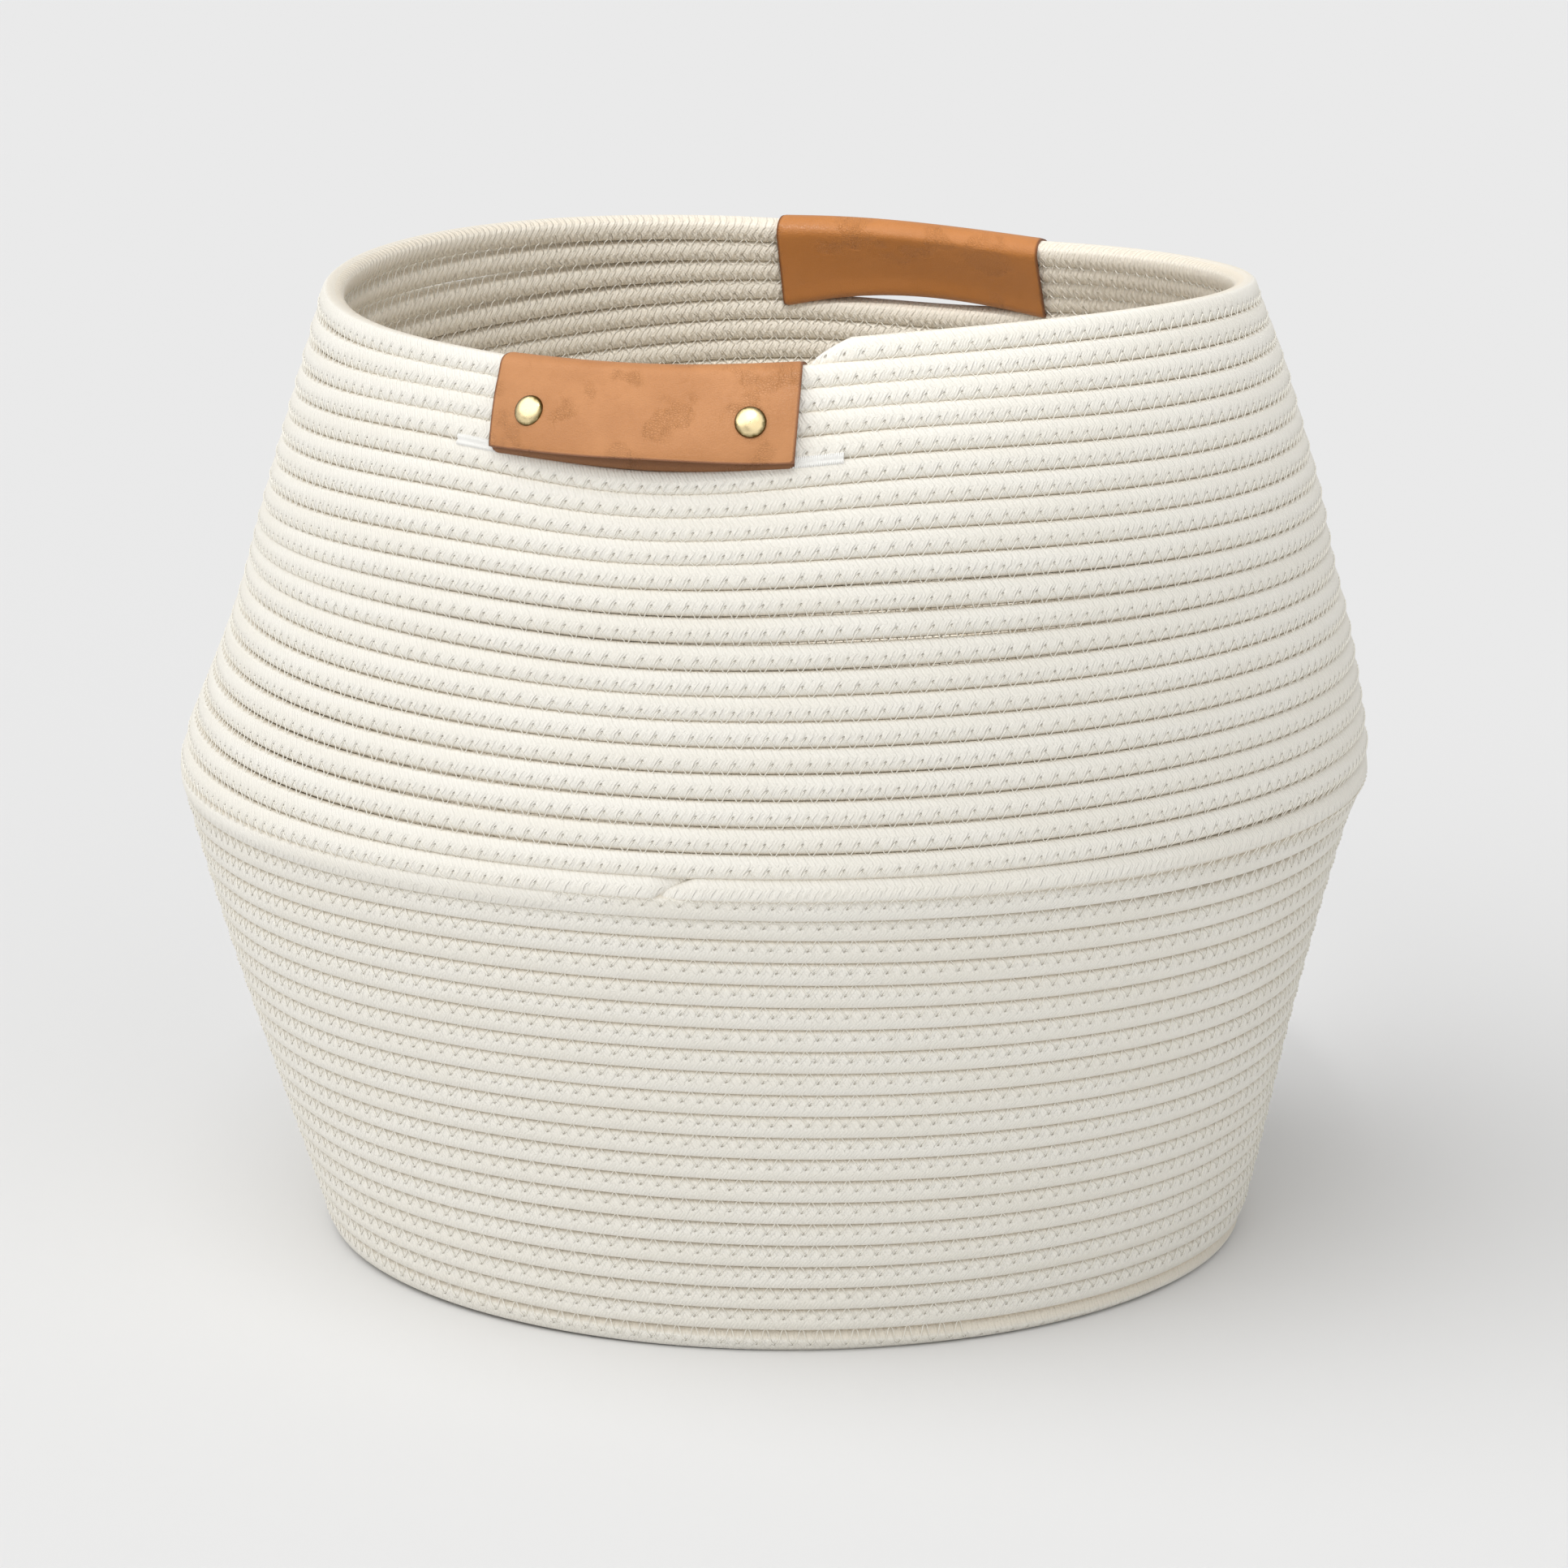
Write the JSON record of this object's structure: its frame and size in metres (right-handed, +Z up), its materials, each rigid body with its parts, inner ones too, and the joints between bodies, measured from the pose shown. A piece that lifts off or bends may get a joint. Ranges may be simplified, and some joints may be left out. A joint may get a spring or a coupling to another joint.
{
  "type": "storage basket",
  "caption": "Round open storage basket of coiled, sewn cotton rope with a bellied wall and two leather-wrapped grip slots closed by domed rivets.",
  "frame": {"origin": "centre of the base, on the floor plane", "axes": "+Z up through the open mouth; -Y is the front, facing out of the front grip, and +Y the back grip; +X to the right seen from the front"},
  "size_m": [0.4006, 0.4006, 0.3302],
  "materials": {
    "rope": "matt braided cotton, off-white",
    "thread": "matt cotton sewing thread, cream",
    "leather": "satin tan leather with fine grain",
    "rivet": "antique brass, polished crowns"
  },
  "bodies": {
    "root": {"base_coil": "rope", "lower_wall_coil": "rope", "upper_wall_coil": "rope", "rim_coil": "rope", "base_seam": "thread", "lower_wall_seam": "thread", "upper_wall_seam": "thread", "rim_seam": "thread", "front_leather_sleeve": "leather", "back_leather_sleeve": "leather", "front_left_rivet_cap": "rivet", "front_left_rivet_post": "rivet", "front_left_bar_tack": "thread", "front_right_rivet_cap": "rivet", "front_right_rivet_post": "rivet", "front_right_bar_tack": "thread", "back_left_rivet_cap": "rivet", "back_left_rivet_post": "rivet", "back_left_bar_tack": "thread", "back_right_rivet_cap": "rivet", "back_right_rivet_post": "rivet", "back_right_bar_tack": "thread"}
  },
  "joints": []
}
